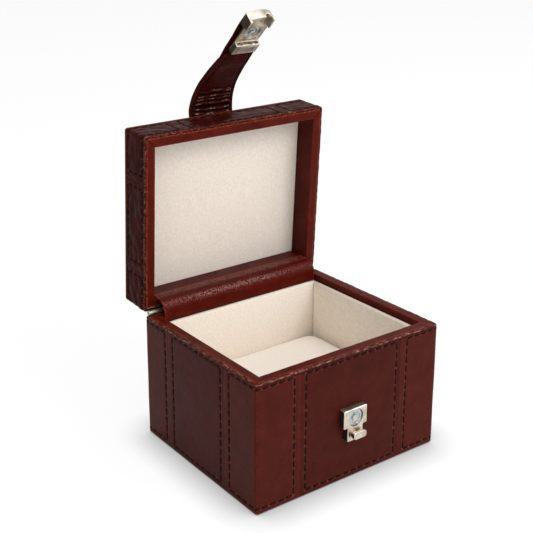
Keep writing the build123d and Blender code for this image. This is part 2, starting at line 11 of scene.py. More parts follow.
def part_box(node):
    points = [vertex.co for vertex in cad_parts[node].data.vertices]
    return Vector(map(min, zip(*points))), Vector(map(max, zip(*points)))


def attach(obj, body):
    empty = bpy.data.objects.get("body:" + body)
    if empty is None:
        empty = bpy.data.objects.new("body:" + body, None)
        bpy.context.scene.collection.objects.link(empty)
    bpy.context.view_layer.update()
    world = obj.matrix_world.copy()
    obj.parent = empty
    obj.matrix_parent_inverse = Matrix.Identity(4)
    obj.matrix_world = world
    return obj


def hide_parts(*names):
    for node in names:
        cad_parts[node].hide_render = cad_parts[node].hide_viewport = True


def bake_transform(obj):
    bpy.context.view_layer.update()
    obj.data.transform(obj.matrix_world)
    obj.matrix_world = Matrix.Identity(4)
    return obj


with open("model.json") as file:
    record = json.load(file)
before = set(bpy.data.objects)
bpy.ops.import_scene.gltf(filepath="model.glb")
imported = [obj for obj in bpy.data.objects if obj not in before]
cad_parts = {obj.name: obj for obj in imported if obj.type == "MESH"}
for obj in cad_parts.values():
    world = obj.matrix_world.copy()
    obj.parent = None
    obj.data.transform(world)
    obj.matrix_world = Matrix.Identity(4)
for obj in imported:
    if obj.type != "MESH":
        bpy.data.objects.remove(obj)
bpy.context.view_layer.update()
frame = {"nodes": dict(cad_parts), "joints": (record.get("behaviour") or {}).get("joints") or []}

bpy.ops.object.select_all(action="DESELECT")
MM = 0.001

# ----
# The view. A normal lens stands off the box's front left corner, a little
# above its open rim. Its axis is off the middle of what it shows.

view_width = 533
lens_in_pixels = 1037.7
axis_across, axis_down = 193.4, 178.0
camera_place = Vector((-271.1, -332.2, 248.8)) * MM
camera_heading, camera_drop, camera_roll = 33.62, 16.19, -0.97

scene = bpy.context.scene
scene.view_settings.view_transform = "Standard"

lens = bpy.data.cameras.new("camera")
lens.sensor_width = 36
lens.lens = lens.sensor_width * lens_in_pixels / view_width
lens.shift_x = 0.5 - axis_across / view_width
lens.shift_y = axis_down / view_width - 0.5
camera = bpy.data.objects.new("camera", lens)
scene.collection.objects.link(camera)
aim = Euler((math.radians(90 - camera_drop), 0, -math.radians(camera_heading)))
camera.matrix_world = (
    Matrix.Translation(camera_place)
    @ aim.to_matrix().to_4x4()
    @ Matrix.Rotation(math.radians(camera_roll), 4, "Z")
)
scene.camera = camera

# ----
# The studio. A white table and a white room, with a soft lamp in front on the
# right and weaker ones low in front, overhead and on both sides. The table is
# seen as white paper is, dark only where the box stands close over it.

table_white = (0.86, 0.86, 0.86, 1)
table_seen_shade = (0.15, 0.15, 0.15, 1)
table_glow = 0.90
contact_reach = 0.018
room_light = 0.34
lamp_aim = Vector((0, 0, 0.06))
lamps = {
    "soft_lamp": ((0.42, -1.10, 1.00), 0.80, 7.8),
    "low_lamp": ((-0.15, -1.20, 0.22), 0.55, 2.6),
    "top_lamp": ((0.05, -0.32, 1.22), 1.80, 8.0),
    "right_lamp": ((1.15, -0.45, 0.60), 0.80, 3.8),
    "left_lamp": ((-1.10, -0.55, 0.60), 0.50, 1.5),
}


def feed(tree, node, inputs):
    """Give a shader node its inputs, each a plain value or another node's output."""
    for socket, value in inputs.items():
        if isinstance(value, bpy.types.NodeSocket):
            tree.links.new(value, node.inputs[socket])
        else:
            node.inputs[socket].default_value = value


def shade(tree, kind, inputs, **settings):
    """Add a shader node with these settings and inputs, and return its outputs."""
    node = tree.nodes.new("ShaderNode" + kind)
    for name, value in settings.items():
        setattr(node, name, value)
    feed(tree, node, inputs)
    return node.outputs


def sums(tree, operation, *terms, **settings):
    """The result of a sum on some levels, by the name of its operation."""
    return shade(tree, "Math", dict(enumerate(terms)), operation=operation, **settings)[0]


def mixed(tree, share, first, second):
    """A colour that goes from the first to the second as a share goes from 0 to 1."""
    return shade(tree, "Mix", {0: share, 6: first, 7: second}, data_type="RGBA")[2]


def seen_directly(tree):
    """1 for a camera, glossy or see-through ray, and 0 for the light that falls on things."""
    rays = shade(tree, "LightPath", {})
    first = sums(tree, "MAXIMUM", rays["Is Camera Ray"], rays["Is Glossy Ray"])
    return sums(tree, "MAXIMUM", first, rays["Is Transmission Ray"])


room = bpy.data.worlds.new("room")
scene.world = room
room.use_nodes = True
tree = room.node_tree
tree.nodes.clear()
level = shade(tree, "MapRange", {"Value": seen_directly(tree), "To Min": room_light, "To Max": 1.0})
air = shade(tree, "Background", {"Strength": level[0]})
shade(tree, "OutputWorld", {"Surface": air[0]})

for name, (place, size, power) in lamps.items():
    light = bpy.data.lights.new(name, "AREA")
    light.energy = power
    light.size = size
    lamp = bpy.data.objects.new(name, light)
    scene.collection.objects.link(lamp)
    lamp.location = place
    lamp.rotation_euler = (lamp_aim - Vector(place)).to_track_quat("-Z", "Y").to_euler()

bpy.ops.mesh.primitive_plane_add(size=8)
table = bpy.context.object
table.name = "table"
table_paint = bpy.data.materials.new("table_white")
table_paint.use_nodes = True
tree = table_paint.node_tree
tree.nodes.clear()
seen = seen_directly(tree)
colour = mixed(tree, seen, table_white, table_seen_shade)
diffuse = shade(tree, "BsdfDiffuse", {"Color": colour})
open_above = shade(tree, "AmbientOcclusion", {"Distance": contact_reach}, samples=8)
level = sums(tree, "MULTIPLY", seen, open_above["AO"])
glow = shade(tree, "Emission", {"Strength": sums(tree, "MULTIPLY", level, table_glow)})
both = shade(tree, "AddShader", {0: diffuse[0], 1: glow[0]})
shade(tree, "OutputMaterial", {"Surface": both[0]})
table.data.materials.append(table_paint)

# ----
# Boards. The carcass of the case and of the lid is thin board, glued at its
# corners and covered all over, so little of it ever shows.

board_tan = (0.44, 0.33, 0.21)
board_pale = (0.58, 0.46, 0.31)
board_fibres = 120


def paint(name):
    """A new material with a plain Principled surface, and its tree."""
    material = bpy.data.materials.new(name)
    material.use_nodes = True
    return material, material.node_tree, material.node_tree.nodes["Principled BSDF"]


def speckle(tree, scale, detail, stretch=(1, 1, 1), roughness=0.5):
    """Noise on the piece's own coordinates, scale in cells to the metre."""
    place = shade(tree, "TexCoord", {})["Object"]
    mapping = shade(tree, "Mapping", {"Vector": place, "Scale": stretch})[0]
    cloud = {"Vector": mapping, "Scale": scale, "Detail": detail, "Roughness": roughness}
    return shade(tree, "TexNoise", cloud)["Fac"]


def ramp(tree, source, first, second, low=0.3, high=0.7):
    """Two colours, or two levels of grey, that a pattern fades between."""
    ends = [value if isinstance(value, tuple) else (value,) * 3 for value in (low, high, first, second)]
    inputs = {6: source, **dict(zip((7, 8, 9, 10), ends))}
    return shade(tree, "MapRange", inputs, data_type="FLOAT_VECTOR")[1]


def bump(tree, height, depth, under=None):
    """Relief of a real depth in metres, laid over any relief under it."""
    inputs = {"Height": height, "Distance": depth}
    if under is not None:
        inputs["Normal"] = under
    return shade(tree, "Bump", inputs)[0]


board_finish, tree, surface = paint("board")
fibre = speckle(tree, board_fibres, 6, (1, 1, 6))
feed(tree, surface, {
    "Base Color": ramp(tree, fibre, board_tan, board_pale),
    "Roughness": 0.8,
    "Normal": bump(tree, fibre, 0.1 * MM),
})


def dress(node, material):
    """Give a node of the frame its finish, and keep its shape."""
    slots = frame["nodes"][node].material_slots
    for held in slots:
        held.material = material
    if not slots:
        frame["nodes"][node].data.materials.append(material)


walls = ("front", "right", "back", "left")
wall_boards = [f"{body}_{wall}_board" for body in ("case", "lid") for wall in walls]
for board in ("base_board", "lid_top_board", *wall_boards):
    dress(board, board_finish)

# ----
# Outer leather. Polished oxblood hide in eight pieces round the case: a middle
# panel on each face and a piece folded round each corner, butted at the seams.
# Each is sewn down round its border with thick black thread.

hide_deep = (0.047, 0.0061, 0.0040)
hide_warm = (0.073, 0.0102, 0.0062)
corner_deep = (0.058, 0.0078, 0.0052)
corner_warm = (0.088, 0.0126, 0.0078)
hide_worn = (0.34, 0.075, 0.035)
# A painted highlight's pale pink, laid on crests and crumples.
hide_painted_highlight = (0.52, 0.30, 0.26)
# The black is wax at the stitches, and painted shade in grooves, valleys and recesses.
hide_black = (0.0030, 0.0010, 0.0009)
hide_gloss = 0.045
hide_rough = 0.26
hide_pores = 1500
hide_step = 0.62 * MM
fine_step = 0.15 * MM
fine_reach = 0.80 * MM
hide_thickness = 0.72 * MM
hide_edge = 0.224 * MM
seam_gap = 0.10 * MM
fold_radius = 1.2 * MM
seam_inset = 3.0 * MM
rim_inset = 2.3 * MM
base_inset = 2.7 * MM
stitch_pitch = 4.1 * MM
stitch_length = 3.45 * MM
thread_width = 0.60 * MM
thread_height = 0.58 * MM
thread_slant = math.radians(13)
thread_black = (0.0035, 0.0022, 0.0022)
thread_dusty = (0.013, 0.007, 0.006)
pull_depth = 0.42 * MM
pull_width = 0.50 * MM
lip_place = 0.48 * MM
lip_width = 0.16 * MM
wax_and_shade_width = 0.42 * MM
swell_height = 0.10 * MM
swell_size = 14 * MM
crumple_size = 2.6 * MM
ridge_radius = 0.95 * MM
ridge_end = 1.70
ridge_crumple = 0.24 * MM
ridge_fold = 1.1 * MM
ridge_reach = 2.6 * MM
ridge_valley = 1.35 * MM
valley_width = 0.22 * MM
valley_depth = 0.16 * MM
ridge_streaks = (0.25 * MM, -0.55 * MM)
streak_width = 0.20 * MM
lower_round = 0.9 * MM


def find_joint(name):
    """A joint of the frame by its name."""
    return next(joint for joint in frame["joints"] if joint["name"] == name)


def turn_about(joint, degrees):
    """The turn of a joint by so many degrees, as a matrix."""
    centre = Matrix.Translation(Vector(joint["pos_m"]))
    spin = Matrix.Rotation(math.radians(degrees), 4, Vector(joint["axis"]))
    return centre @ spin @ centre.inverted()


hinge = find_joint("lid_hinge")
lid_shut_to_open = turn_about(hinge, -hinge["range_deg"][1])
opened = {"case": Matrix.Identity(4), "lid": lid_shut_to_open}


def shut_box(node, body="case"):
    """A node's lowest and highest corners with the lid shut."""
    closing = opened[body].inverted()
    corners = np.array([closing @ vertex.co for vertex in frame["nodes"][node].data.vertices])
    return Vector(corners.min(axis=0)), Vector(corners.max(axis=0))


def swung(points, directions, body):
    """Points and directions of the shut box, carried to where the body rests open."""
    turn = np.array(opened[body])
    return points @ turn[:3, :3].T + turn[:3, 3], directions @ turn[:3, :3].T


half_width, half_depth, _ = -shut_box("case_front_left_corner")[0]
rim_z = shut_box("case_front_rim")[1].z
panel_left, panel_right = (corner.x for corner in shut_box("case_front_panel"))
panel_front, panel_back = (corner.y for corner in shut_box("case_right_panel"))


def hide_finish(name, deep, warm, worn=hide_worn, rough=hide_rough, creases=1.0, gloss=hide_gloss):
    """Polished hide: clouded colour, fine grain and soft creases. Its "marks" say where it is
    worn, where a pale highlight is painted on, and where it is black with wax and painted shade."""
    material, tree, surface = paint(name)
    colour = ramp(tree, speckle(tree, 150, 8, roughness=0.72), deep, warm)
    marks = shade(tree, "Attribute", {}, attribute_name="marks")
    split = shade(tree, "SeparateXYZ", {0: marks["Vector"]})
    # The three marks: worn colour, a painted highlight, and black that is wax at the stitches and painted
    # shade elsewhere.
    tints = ((worn, 900, 0.2), (hide_painted_highlight, 1300, 0.0), (hide_black, 500, 0.7))
    for channel, (tint, flecks, least) in enumerate(tints):
        patch = ramp(tree, speckle(tree, flecks, 3), least, 1.0, 0.42, 0.60)
        amount = sums(tree, "MULTIPLY", split[channel], patch, use_clamp=True)
        colour = mixed(tree, amount, colour, (*tint, 1))
    waves = bump(tree, speckle(tree, 240, 4), 0.12 * MM * creases)
    place = shade(tree, "TexCoord", {})["Object"]
    pores = shade(tree, "TexVoronoi", {"Vector": place, "Scale": hide_pores})["Distance"]
    feed(tree, surface, {
        "Base Color": colour,
        "Roughness": ramp(tree, speckle(tree, 160, 4), rough, rough + 0.14),
        "Specular IOR Level": gloss,
        "Normal": bump(tree, pores, 0.035 * MM, waves),
    })
    return material


case_hide = hide_finish("case_hide", hide_deep, hide_warm)
corner_hide = hide_finish("corner_hide", corner_deep, corner_warm)

thread_finish, tree, surface = paint("waxed_thread")
twist = speckle(tree, 2600, 2)
feed(tree, surface, {
    "Base Color": ramp(tree, twist, thread_black, thread_dusty, 0.35, 0.65),
    "Roughness": 0.7,
    "Specular IOR Level": 0.08,
    "Normal": bump(tree, twist, 0.05 * MM),
})


def round_box(along):
    """Points and outward directions on the case's outline, from the middle of the front to the right."""
    flat_x, flat_y = half_width - fold_radius, half_depth - fold_radius
    bend = math.pi * fold_radius / 2
    turns = np.floor(along / (2 * face_quarter) + 0.5)
    # Half the outline, from the middle of the left to the middle of the right, and its mirror image.
    local = along - 2 * face_quarter * turns
    side, reach = np.sign(local), np.abs(local)
    angle = np.clip((reach - flat_x) / fold_radius, 0, math.pi / 2)
    x = np.minimum(reach, flat_x) + fold_radius * np.sin(angle)
    y = -flat_y - fold_radius * np.cos(angle) + np.maximum(reach - flat_x - bend, 0)
    flip = np.where(turns % 2 == 0, 1.0, -1.0)
    return (
        np.column_stack([x * side * flip, y * flip]),
        np.column_stack([np.sin(angle) * side * flip, -np.cos(angle) * flip]),
    )


face_quarter = half_width + half_depth - 2 * fold_radius + math.pi * fold_radius / 2
face_middle = {wall: number * face_quarter for number, wall in enumerate(walls)}
seams = {
    "front": (panel_left, panel_right),
    "right": (panel_front, panel_back),
    "back": (-panel_right, -panel_left),
    "left": (-panel_back, -panel_front),
}


def share(level):
    """A level kept between 0 and 1."""
    return np.clip(level, 0, 1)


def fading(distance, width):
    """1 at no distance, falling evenly to 0 at a width."""
    return share(1 - distance / width)


def bell(distance, width, power=2):
    """1 at no distance, falling softly either way. A higher power gives a flatter top."""
    return np.exp(-(distance / width) ** power)


def border_rows(length, height, ends, top, bottom):
    """The four rows of stitches round a piece: (start, end) across and up from its lower left."""
    left, right, low, high = ends, length - ends, bottom, height - top
    corners = [(left, low), (right, low), (right, high), (left, high), (left, low)]
    return list(zip(corners, corners[1:]))


def measure_row(row, wanted):
    """How many stitches fit a row, their even pitch, and the row's length and direction."""
    (x0, y0), (x1, y1) = row
    length = math.hypot(x1 - x0, y1 - y0)
    count = max(1, round(length / wanted))
    return count, length / count, length, (x1 - x0) / length, (y1 - y0) / length


def pulled(across, up, rows, wanted=stitch_pitch, gap=(0.7, 8)):
    """How far the thread pulls the hide in, and the marks it leaves: worn lips, and black that is wax and
    painted shade in the groove.
    """
    depth, worn, black = (np.zeros_like(across) for _ in range(3))
    for row in rows:
        x0, y0 = row[0]
        _, pitch, length, tx, ty = measure_row(row, wanted)
        along = (across - x0) * tx + (up - y0) * ty
        off = (across - x0) * -ty + (up - y0) * tx
        past = np.maximum(np.maximum(-along, along - length), 0)
        away = np.hypot(off, past)
        hole = 0.5 + 0.5 * np.cos(2 * math.pi * along / pitch)
        depth = np.maximum(depth, bell(away, pull_width) * (0.55 + 0.45 * hole))
        lip = bell(away - lip_place, lip_width) * (0.12 + 0.45 * hole ** 2)
        tip = bell(away, lip_place, 4) * share((hole - 0.88) / 0.08)
        worn = np.maximum.reduce([worn, lip, 0.9 * tip])
        # Black along the row, wax and painted shade in the pulled groove, fading in the gaps between
        # stitches.
        black = np.maximum(black, bell(away, wax_and_shade_width, 4) * (1 - gap[0] * hole ** gap[1]))
    return depth * pull_depth, worn, black


def unevenness(across, up, seed, size):
    """Slow swelling of the hide over its board, from -1 to 1."""
    return np.array([noise.noise(Vector((a / size, b / size, seed))) for a, b in zip(across, up)])


def take(piece):
    """Select one piece alone, and make it the active one."""
    bpy.ops.object.select_all(action="DESELECT")
    piece.select_set(True)
    bpy.context.view_layer.objects.active = piece


def apply_all(piece):
    """Apply every modifier on a piece, in order."""
    take(piece)
    for modifier in list(piece.modifiers):
        bpy.ops.object.modifier_apply(modifier=modifier.name)


def smooth(piece, degrees=60):
    """Smooth shading, with edges sharper than so many degrees kept."""
    take(piece)
    bpy.ops.object.shade_smooth_by_angle(angle=math.radians(degrees))


def ease(piece, width, segments=3, degrees=40):
    """Round every edge of a piece that is sharper than so many degrees."""
    rounded = piece.modifiers.new("edge", "BEVEL")
    rounded.width = width
    rounded.segments = segments
    rounded.angle_limit = math.radians(degrees)
    apply_all(piece)


def give_thickness(piece, thickness, edge):
    """Turn a sheet into a closed piece with rounded edges."""
    solid = piece.modifiers.new("thickness", "SOLIDIFY")
    solid.thickness = thickness
    solid.offset = -1
    ease(piece, edge, 3, 50)


def rungs(length, wanted, close=()):
    """Places along a length for the lines of a grid, close together near some of them."""
    places = [0.0]
    while places[-1] < length - fine_step:
        after = places[-1] + fine_step
        away = min((max(abs(after - spot) - fine_reach, 0) for spot in close), default=length)
        places.append(places[-1] + min(wanted, max(away, fine_step)))
    return np.array(places) * (length / places[-1])


def points_of(piece):
    """Where a piece's vertices are."""
    flat = np.empty(len(piece.data.vertices) * 3)
    piece.data.vertices.foreach_get("co", flat)
    return flat.reshape(-1, 3)


def lay_grid(name, columns, levels):
    """A flat grid with lines at these places, and each vertex's place across and up."""
    bpy.ops.object.select_all(action="DESELECT")
    cells = (len(columns) - 1, len(levels) - 1)
    bpy.ops.mesh.primitive_grid_add(x_subdivisions=cells[0], y_subdivisions=cells[1], size=1)
    sheet = bpy.context.object
    sheet.name = sheet.data.name = name
    column, level = np.rint((points_of(sheet)[:, :2] + 0.5) * cells).astype(int).T
    return sheet, columns[column], levels[level]


def move_vertices(piece, places):
    """Put a piece's vertices at these places."""
    piece.data.vertices.foreach_set("co", np.asarray(places, float).ravel())
    piece.data.update()


def mark(piece, worn, painted_highlight=0.0, black=0.0):
    """Keep how worn each vertex is, how much painted highlight it has, and how black it is with wax and
    painted shade, for the finish to read.
    """
    marks = np.zeros((len(piece.data.vertices), 3), np.float32)
    marks[:, 0], marks[:, 1], marks[:, 2] = worn, painted_highlight, black
    attribute = piece.data.attributes.new("marks", "FLOAT_VECTOR", "POINT")
    attribute.data.foreach_set("vector", marks.ravel())


def belong(piece, body, material, slot, *nodes):
    """Finish a piece: its material and its body. When a slot is named, the nodes that the piece stands
    for are hidden; the name itself is not kept.
    """
    piece.data.materials.clear()
    piece.data.materials.append(material)
    if body:
        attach(piece, body)
    if slot:
        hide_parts(*nodes)
    return piece


def edit(piece, mode="VERT", action="SELECT"):
    """Open a piece for editing with all of it selected, or nothing."""
    take(piece)
    bpy.ops.object.mode_set(mode="EDIT")
    bpy.ops.mesh.select_mode(type=mode)
    bpy.ops.mesh.select_all(action=action)


def leave_edit():
    """Close a piece that was open for editing."""
    bpy.ops.object.mode_set(mode="OBJECT")


# One stitch: a short fat length of thread that dives into a hole at each end.
bpy.ops.object.select_all(action="DESELECT")
bpy.ops.mesh.primitive_uv_sphere_add(segments=8, ring_count=6, radius=1, rotation=(0, math.pi / 2, 0))
bpy.ops.object.transform_apply(rotation=True)
one_stitch = bpy.context.object
stitch_shape = points_of(one_stitch)
stitch_faces = [tuple(face.vertices) for face in one_stitch.data.polygons]
bpy.data.objects.remove(one_stitch)
stitch_shape[:, 0] = np.sign(stitch_shape[:, 0]) * np.abs(stitch_shape[:, 0]) ** 0.7
stitch_shape = stitch_shape * np.array([stitch_length, thread_width, thread_height]) / 2
stitch_shape[:, 2] -= 0.4 * thread_height * (2 * stitch_shape[:, 0] / stitch_length) ** 4


def sew(name, rows, surface, body, seed, wanted=stitch_pitch, thick=1.0):
    """Rows of stitches that follow a surface: surface(across, up) gives points and outward directions."""
    dice = random.Random(seed)
    across, up = [], []
    for row in rows:
        x0, y0 = row[0]
        count, pitch, _, tx, ty = measure_row(row, wanted)
        for index in range(count):
            middle = (index + 0.5) * pitch
            slant = thread_slant + dice.uniform(-0.06, 0.06)
            size = (pitch / stitch_pitch) ** 1.4 * dice.uniform(0.93, 1.04)
            ahead, aside = stitch_shape[:, 0] * size, stitch_shape[:, 1] * thick
            forward = middle + ahead * math.cos(slant) - aside * math.sin(slant)
            sideways = ahead * math.sin(slant) + aside * math.cos(slant)
            across.append(x0 + tx * forward - ty * sideways)
            up.append(y0 + ty * forward + tx * sideways)
    rise = np.tile(stitch_shape[:, 2], len(across))
    place, out = surface(np.concatenate(across), np.concatenate(up))
    corners = place + out * rise[:, None]
    faces = [
        tuple(corner + first for corner in face)
        for first in range(0, len(corners), len(stitch_shape))
        for face in stitch_faces
    ]
    mesh = bpy.data.meshes.new(name)
    mesh.from_pydata(corners.tolist(), [], faces)
    mesh.shade_smooth()
    piece = bpy.data.objects.new(name, mesh)
    scene.collection.objects.link(piece)
    edit(piece)
    bpy.ops.mesh.normals_make_consistent(inside=False)
    leave_edit()
    return belong(piece, body, thread_finish, None)


def wrapped_hide(body, name, node, start, end, far, near, far_inset, seed, rumple, finish):
    """A piece of hide between two seams of the outline, with its stitches. Its height runs from
    its far edge (the base, or the lid's top) to its near one, where it rolls over the rim."""
    length, height = end - start, abs(near - far)
    up_sign = 1 if near > far else -1
    flat = height - ridge_radius
    whole = flat + ridge_radius * ridge_end
    sheet, across, up = lay_grid(
        name,
        rungs(length, hide_step, (seam_inset, length - seam_inset)),
        rungs(whole, hide_step, (far_inset, height - rim_inset, height - ridge_valley, height, whole)),
    )
    rows = border_rows(length, height, seam_inset, rim_inset, far_inset)
    depth, worn, black = pulled(across, up, rows)
    creased = unevenness(across * 0.6, up, seed + 0.3, crumple_size) * share(1 - 1.6 * depth / pull_depth)
    swell = swell_height * unevenness(across, up, seed, swell_size) + rumple * creased
    # The crumpled ridge, drawn into short folds by the stitches under it.
    by_rim = share((up - height + ridge_reach) / ridge_reach)
    folds = unevenness(across * 0.45, up, seed + 0.5, ridge_fold)
    folds += 0.25 * np.cos(2 * math.pi * (across + 0.5 * (up - height)) / stitch_pitch)
    valley = bell(up - height + ridge_valley + 0.15 * MM * folds, valley_width)
    swell = swell * (1 - by_rim) + ridge_crumple * folds * by_rim * (1.4 - by_rim) - valley_depth * valley
    plan, out = round_box(start + across)
    edge = np.minimum.reduce([across, length - across, up])
    shift = (swell - depth) * share(edge / (0.8 * MM))
    shift -= lower_round * (1 - np.sqrt(1 - fading(up, lower_round) ** 2))
    turn = np.maximum(up - flat, 0) / ridge_radius
    radius = ridge_radius + shift
    outward = np.where(turn > 0, radius * np.cos(turn) - ridge_radius, shift)
    level = np.where(turn > 0, flat + radius * np.sin(turn), up)
    move_vertices(sheet, np.column_stack([plan + out * outward[:, None], far + up_sign * level]))
    if up_sign < 0:
        sheet.data.flip_normals()
    rubbed = fading(edge, 0.45 * MM) * 0.14
    crest = bell(turn - 0.75, 0.38) * (turn > 0) * 0.35
    fold = share(np.abs(out[:, 0] * out[:, 1]) * 2 - 0.6) * 0.45
    # Painted highlights along the crumples: long thin broken streaks.
    painted_streaks = np.zeros_like(across)
    for number, middle in enumerate(ridge_streaks):
        wander = unevenness(across, np.zeros_like(across), seed + 0.7 + number, 6 * MM)
        broken = unevenness(across, up, seed + 4.1 + number, 2.2 * MM)
        painted_streak = bell(up - height - middle - 0.30 * MM * wander, streak_width)
        painted_streaks = np.maximum(painted_streaks, painted_streak * share(0.35 + 2.2 * broken))
    # Painted highlights on the crumples' crests, stronger on the front faces, and painted shade in their
    # hollows.
    in_front = 0.3 + 0.7 * share(-out[:, 1])
    painted_glints = in_front * share(2.2 * creased - 0.7) * rumple / MM
    painted_hollow_shade = share(-2 * creased - 0.3) * 2 * rumple / MM
    # Painted shade where the ridge turns in under the rim strip, and in the valley under the ridge.
    inner = share((turn - 1.25) / 0.25)
    mark(
        sheet,
        np.maximum.reduce([worn * 0.9, rubbed, crest, fold]),
        np.maximum(painted_streaks * (0.45 if rumple else 0.9), painted_glints),
        np.maximum.reduce([black * 0.9, valley * 0.9, inner, painted_hollow_shade]),
    )
    give_thickness(sheet, hide_thickness, hide_edge)
    smooth(sheet, 50)
    sheet.data.transform(opened[body])
    belong(sheet, body, finish, "leather", node)

    def surface(a, b):
        centre, outward = round_box(start + a)
        place = np.column_stack([centre - outward * pull_depth * 0.30, far + up_sign * b])
        return swung(place, np.column_stack([outward, np.zeros(len(a))]), body)

    sew(name + "_stitches", rows, surface, body, seed)


def wrap_round(body, far, near, far_inset, seed, rumple, panel_finish, corner_finish):
    """The four middle panels and the four corner pieces of the case or the lid."""
    for index, face in enumerate(walls):
        after = walls[(index + 1) % 4]
        first, seam = (face_middle[face] + place for place in seams[face])
        next_seam = face_middle[face] + face_quarter + seams[after][0]
        corner = f"{face}_{after}" if face in ("front", "back") else f"{after}_{face}"
        for name, node, start, end, number, finish in (
            (face + "_hide", face + "_panel", first, seam, seed + index, panel_finish),
            (corner + "_fold", corner + "_corner", seam, next_seam, seed + 10 + index, corner_finish),
        ):
            wrapped_hide(
                body, f"{body}_{name}", f"{body}_{node}", start + seam_gap / 2, end - seam_gap / 2,
                far, near, far_inset, number, rumple, finish,
            )


wrap_round("case", 0.0, rim_z, base_inset, 1, 0.0, case_hide, corner_hide)
dress("base_cover", case_hide)

# ----
# Rims. A strip of redder, burnished hide is turned over each wall's edge and
# down inside it, and the four strips are mitred. Handling has worn their outer
# edges to bare orange.

rim_deep = (0.050, 0.0042, 0.0024)
rim_warm = (0.118, 0.0122, 0.0064)
rim_worn = (0.40, 0.070, 0.024)
rim_round = 0.40 * MM
rim_corner = 1.6 * MM
rim_inside_ridge = 1.02 * MM
rim_flat = 1.0 * MM
back_rim_flat = 0.4 * MM
rim_slice = 3 * MM
wear_width = 0.75 * MM
mitre_cut = 0.04 * MM
rim_hide = hide_finish("rim_hide", rim_deep, rim_warm, rim_worn, 0.30, 0.6)


def add_block(name, low, high):
    """A block between two corners."""
    bpy.ops.object.select_all(action="DESELECT")
    bpy.ops.mesh.primitive_cube_add(size=1)
    block = bpy.context.object
    block.name = block.data.name = name
    low, high = Vector(low), Vector(high)
    block.data.transform(Matrix.Translation((low + high) / 2) @ Matrix.Diagonal((*(high - low), 1)))
    return block


def choose(piece, kind, test):
    """Open a piece for editing, with only the edges or faces selected that pass a test."""
    edit(piece, kind, "DESELECT")
    shape = bmesh.from_edit_mesh(piece.data)
    for part in shape.faces if kind == "FACE" else shape.edges:
        part.select_set(bool(test(part)))
    bmesh.update_edit_mesh(piece.data)


def cut_loops(piece, axis, places):
    """Cut an edge loop round a piece at each of these places along an axis."""
    normal = Matrix.Identity(3)[axis]
    edit(piece)
    for place in places:
        bpy.ops.mesh.select_all(action="SELECT")
        bpy.ops.mesh.bisect(plane_co=normal * place, plane_no=normal)
    leave_edit()


def mitre(piece, axis, inward, end):
    """Cut one end of a strip at 45 degrees from the outline's corner, and close the cut."""
    halves = (half_width, half_depth)
    corner, normal = Vector((0, 0, 0)), Vector((0, 0, 0))
    corner[axis], corner[1 - axis] = -inward * halves[axis], end * halves[1 - axis]
    normal[axis], normal[1 - axis] = inward, end
    normal.normalize()
    edit(piece)
    bpy.ops.mesh.bisect(
        plane_co=corner - normal * mitre_cut, plane_no=normal, use_fill=True, clear_outer=True
    )
    leave_edit()


def worn_round(plan, inset, radius):
    """Points of a plan, drawn in where its corners, this far inside the outline's, are rounded."""
    over = np.maximum(np.abs(plan) - np.array([half_width, half_depth]) + inset + radius, 0)
    kept = over.max(axis=1) / np.maximum(np.hypot(over[:, 0], over[:, 1]), 1e-9)
    return plan - np.sign(plan) * over * (1 - kept)[:, None]


def rim_strip(body, face, up):
    """One mitred strip: its flat on the wall's edge, and its lip down the wall's inside."""
    node = f"{body}_{face}_rim"
    low, high = shut_box(node, body)
    axis = 1 if face in ("front", "back") else 0
    inward = 1 if face in ("front", "left") else -1
    outer_side, inner_side = (low, high) if inward > 0 else (high, low)
    outer_side[axis] += inward * rim_inside_ridge
    outer, inner = outer_side[axis], inner_side[axis]
    near_corner = high[1 - axis] - rim_inside_ridge
    wall_inside = shut_box(f"{body}_{face}_board", body)[inward > 0][axis]
    edge_z, lip_z = (high.z, low.z) if up > 0 else (low.z, high.z)
    under_z = edge_z - up * (back_rim_flat if face == "back" else rim_flat)
    low.z, high.z = sorted((edge_z, under_z))
    strip = add_block(node + "_hide", low, high)
    cut_loops(strip, axis, [wall_inside])
    choose(strip, "FACE", lambda part: (
        part.normal.z * up < -0.9 and (part.calc_center_median()[axis] - wall_inside) * inward > 0
    ))
    bpy.ops.mesh.extrude_region_move(TRANSFORM_OT_translate={"value": (0, 0, lip_z - under_z)})
    leave_edit()
    for end in (-1, 1):
        mitre(strip, axis, inward, end)
    run = points_of(strip)[:, 1 - axis]
    start, length = run.min(), np.ptp(run)
    count = int(length / rim_slice)
    cut_loops(strip, 1 - axis, [start + length * index / count for index in range(1, count)])
    cut_loops(strip, axis, [outer + inward * 0.9 * MM, inner - inward * 0.9 * MM])
    steps = (0.25 * MM, 0.6 * MM, 1.1 * MM, 1.6 * MM)
    cut_loops(strip, 1 - axis, [end * (near_corner - step) for step in steps for end in (-1, 1)])
    ease(strip, rim_round)
    places = points_of(strip)
    places[:, :2] = worn_round(places[:, :2], rim_inside_ridge, rim_corner)
    down = np.abs(places[:, 2] - edge_z)
    # Worn to orange along the outer edge, a faint painted highlight along the inner edge, and painted
    # shade down the lip inside the wall, less in the lid.
    worn = share(1.15 - (np.abs(places[:, axis] - outer) + down) / wear_width)
    inner_painted_highlight = fading(np.abs(places[:, axis] - inner) + down, wear_width)
    inside = share((down - 0.9 * MM) / (0.6 * MM)) * (0.75 if body == "case" else 0.45)
    mark(strip, np.maximum(worn, 0.2 * inner_painted_highlight) * 0.85, 0.0, inside)
    uneven = unevenness(places[:, 0], places[:, 1], 9 + axis, 5 * MM)
    places[:, 2] += up * 0.07 * MM * uneven * (down < 0.5 * MM)
    move_vertices(strip, places)
    smooth(strip)
    strip.data.transform(opened[body])
    belong(strip, body, rim_hide, "rim_leather", node)


for wall in walls:
    rim_strip("case", wall, 1)

